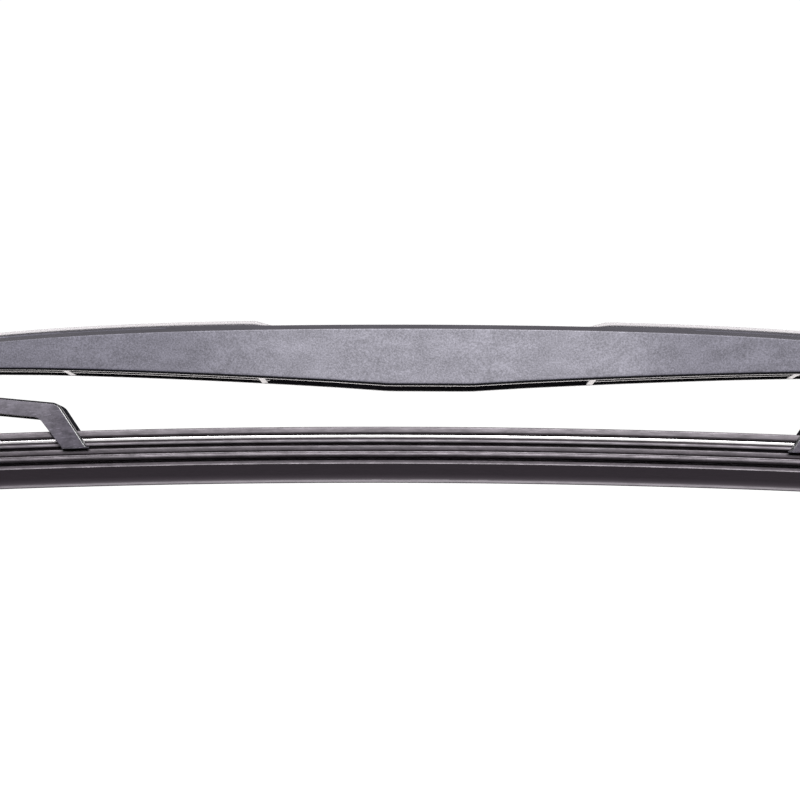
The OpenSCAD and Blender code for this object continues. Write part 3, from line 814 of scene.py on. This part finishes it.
def yoke_outline(claw):
    """Corners of a yoke's side and their radii: the back first, then the belly with both feet."""
    inner, outer = leg_foot(claw, 1), leg_foot(CLAW_OUT, -1)
    knee_in, knee_out = leg_knee(claw, 1), leg_knee(CLAW_OUT, -1)
    hub_in, hub_out = ((PIVOT_X + s * HUB_HALF, PIVOT_Z + HUB_H) for s in (-1, 1))
    root_in, root_out = ((PIVOT_X + s * ROOT_HALF, PIVOT_Z - HUB_H) for s in (-1, 1))
    back = [(inner[0], 0), (knee_in, KNEE_R), (hub_in, ARM_R),
            (hub_out, ARM_R), (knee_out, KNEE_R), (outer[0], 0)]
    belly = [
        (outer[1], 0), (leg_crook(CLAW_OUT, -1), CROOK_R),
        (arm_under(knee_out, hub_out, CLAW_OUT - ARM_START), ARM_R),
        (root_out, ROOT_R), (root_in, ROOT_R),
        (arm_under(knee_in, hub_in, claw + ARM_START), ARM_R),
        (leg_crook(claw, 1), CROOK_R), (inner[1], 0),
    ]
    return back, belly


def round_corner(bm, vert, radius):
    """Rounds one corner of a flat outline."""
    a, b = ((e.other_vert(vert).co - vert.co).normalized() for e in vert.link_edges)
    turn = math.pi - a.angle(b)
    bmesh.ops.bevel(bm, geom=[vert], offset=radius * math.tan(turn / 2), segments=CORNER_STEPS,
                    profile=0.5, affect="VERTICES", material=-1)


def side_face(bm, corners, y):
    """The rounded outline as one face across the blade at y."""
    loop = ring(bm, [(x, y, z) for (x, z), _ in corners])
    verts = kind(loop, bmesh.types.BMVert)
    bmesh.ops.contextual_create(bm, geom=loop)
    for vert, (_, radius) in zip(verts, corners):
        if radius:
            round_corner(bm, vert, radius)


def thicken(bm, width):
    """Extrudes the faces across the blade."""
    made = bmesh.ops.extrude_face_region(bm, geom=bm.faces[:])["geom"]
    bmesh.ops.translate(bm, vec=(0, width, 0), verts=kind(made, bmesh.types.BMVert))
    bmesh.ops.recalc_face_normals(bm, faces=bm.faces)


def hollow(back):
    """What the press leaves free inside the channel, open below.

    It is the back moved in by the sheet's thickness, with both legs run on downwards.
    """
    on = Vector((math.sin(LEG_LEAN), math.cos(LEG_LEAN))) * LEG_OVERRUN
    inner, outer = Vector(back[0][0]) - on, Vector(back[-1][0]) + Vector((on.x, -on.y))
    bm = bmesh.new()
    side_face(bm, [(tuple(inner), 0)] + back[1:-1] + [(tuple(outer), 0)], -YOKE_IN)
    rim = bmesh.ops.inset_region(bm, faces=bm.faces[:], thickness=STEEL_T,
                                 use_even_offset=True, use_boundary=True)
    bmesh.ops.delete(bm, geom=rim["faces"], context="FACES")
    thicken(bm, 2 * YOKE_IN)
    return bm


def passage(x):
    """The way through a leg's web for the rubber's head."""
    place = Matrix.Translation((x, 0, rubber_z(x))) @ bow_tilt(x)
    middle = Matrix.Translation((0, 0, HEAD_ROOM - FOOT_DEPTH))
    size = Matrix.Diagonal((4 * LEG_W, 2 * YOKE_IN, 2 * FOOT_DEPTH, 1))
    bm = bmesh.new()
    bmesh.ops.create_cube(bm, size=1, matrix=place @ middle @ size)
    return bm


def loose(bm):
    """The mesh as an object for a cut, away from the pieces."""
    mesh = bpy.data.meshes.new("loose")
    bm.to_mesh(mesh)
    bm.free()
    return linked("loose", mesh)


def carve(bm, cutter):
    """Takes the cutter's solid out of the mesh."""
    block, tool = loose(bm), loose(cutter)
    cut = block.modifiers.new("cut", "BOOLEAN")
    cut.operation, cut.solver, cut.object = "DIFFERENCE", "EXACT", tool
    left = block.evaluated_get(bpy.context.evaluated_depsgraph_get()).to_mesh()
    made = bmesh.new()
    made.from_mesh(left)
    for obj in (block, tool):
        mesh = obj.data
        bpy.data.objects.remove(obj)
        bpy.data.meshes.remove(mesh)
    return made


def gap_to(point, path):
    """Distance in X and Z from a point to a path."""
    point = Vector((point.x, 0, point.z))
    best = math.inf
    for a, b in zip(path, path[1:]):
        t = max(0.0, min(1.0, (point - a).dot(b - a) / (b - a).length_squared))
        best = min(best, (point - a - (b - a) * t).length)
    return best


def on_bend(edge, back):
    """Whether an edge is the bend between a side's face and the channel's back."""
    outside = all(abs(v.co.y) > YOKE_HALF - NEAR for v in edge.verts)
    folded = edge.calc_face_angle(0) > 1
    middle = (edge.verts[0].co + edge.verts[1].co) / 2
    return outside and folded and gap_to(middle, back) < 1.2 and abs(run(edge).y) < NEAR


def bend_edges(bm, back):
    """Rounds the bends between the back and the sides."""
    path = [Vector((x, 0, z)) for (x, z), _ in back]
    bends = [e for e in bm.edges if on_bend(e, path)]
    bmesh.ops.bevel(bm, geom=bends, offset=BEND_R, segments=5, profile=0.5, affect="EDGES",
                    material=-1, clamp_overlap=True)


def yoke_channel(claw):
    """The pressed channel with its legs for the blade's right half, inner claw at that place."""
    back, belly = yoke_outline(claw)
    bm = bmesh.new()
    side_face(bm, back + belly, -YOKE_HALF)
    thicken(bm, 2 * YOKE_HALF)
    for cutter in (hollow(back), passage(claw), passage(CLAW_OUT)):
        bm = carve(bm, cutter)
    bmesh.ops.remove_doubles(bm, verts=bm.verts, dist=WELD)
    bend_edges(bm, back)
    return bm


def claw_lip(bm, x, side):
    """The flange that a foot turns in under the element's head."""
    low, high = -FOOT_DEPTH + 0.05, -FOOT_DEPTH + 0.56
    inner, outer = YOKE_IN - 1.25, YOKE_HALF - 0.35
    place = Matrix.Translation((x, 0, rubber_z(x))) @ bow_tilt(x)
    middle = Matrix.Translation((0, side * (inner + outer) / 2, (low + high) / 2))
    size = Matrix.Diagonal((LEG_W - 1, outer - inner, high - low, 1))
    bmesh.ops.create_cube(bm, size=1, matrix=place @ middle @ size)


def claw_fold(bm, x, side):
    """The rolled fold along a foot, from which its flange turns in."""
    lengthways = bow_tilt(x) @ Matrix.Rotation(math.pi / 2, 4, "Y")
    low = Vector((x, 0, rubber_z(x) - FOOT_DEPTH + FOLD_R))
    place = Matrix.Translation(low + Vector((0, side * (YOKE_HALF + FOLD_OUT - FOLD_R), 0)))
    bmesh.ops.create_cone(bm, segments=20, radius1=FOLD_R, radius2=FOLD_R,
                          depth=LEG_W + FOLD_MORE, cap_ends=True, matrix=place @ lengthways)


def yoke_finish(face):
    """The finish of a face: the bends are smoother than the sides, and the bends and the back
    carry a painted shade.
    """
    sideways = abs(face.normal.y)
    if sideways < 0.95 and face.normal.z > 0.03:
        return BEND_SHADE_PAINT if sideways > 0.05 else BACK_SHADE_PAINT
    return YOKE_PAINT


def yoke(side, name, node):
    """A pressed yoke with its two claws."""
    bm = yoke_channel(CLAW_IN[side])
    for x in (CLAW_IN[side], CLAW_OUT):
        for wall in (-1, 1):
            claw_lip(bm, x, wall)
            claw_fold(bm, x, wall)
    lay_finishes(bm, YOKE_FINISHES, yoke_finish)
    if side < 0:
        bmesh.ops.scale(bm, vec=(-1, 1, 1), verts=bm.verts)
    obj = make_piece(name, bm, YOKE_FINISHES, [node], node)
    soften(obj, SOFT_R)


# ---- rivets ----

def rivet(side, name, node):
    """A swaged rivet with two domed heads, each with a shallow dimple."""
    half = [(0, 6.42), (0.55, 6.42), (0.8, 6.55), (1.3, 6.6), (2.0, 6.5), (2.5, 6.27),
            (2.7, 6.0), (2.7, 5.84), (2.62, 5.8), (1.5, 5.8)]
    path = half + [(r, -y) for r, y in reversed(half)]
    bm = bmesh.new()
    verts = [bm.verts.new((r, y, 0)) for r, y in path]
    edges = [bm.edges.new(pair) for pair in zip(verts, verts[1:])]
    full_turn(bm, verts + edges, 40)
    bmesh.ops.translate(bm, vec=(side * PIVOT_X, 0, PIVOT_Z), verts=bm.verts)
    make_piece(name, bm, [RIVET_STEEL], [node], "bridge")


# ---- the blade ----

bridge()
for side, hand in ((-1, "left"), (1, "right")):
    element_half(side, f"rubber_{hand}")
    strip_half(side, -1, f"front_strip_{hand}", "strip_front")
    strip_half(side, 1, f"rear_strip_{hand}", "strip_rear")
    yoke(side, f"pressed_yoke_{hand}", f"yoke_{hand}")
    rivet(side, f"swaged_rivet_{hand}", f"pivot_rivet_{hand}")

for node, material in (
    ("hook_adaptor", ADAPTOR_PLASTIC), ("connector_pin", PIN_STEEL),
    ("pivot_liner_left", LINER_PLASTIC), ("pivot_liner_right", LINER_PLASTIC),
):
    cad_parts[node].data.materials.clear()
    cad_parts[node].data.materials.append(material)
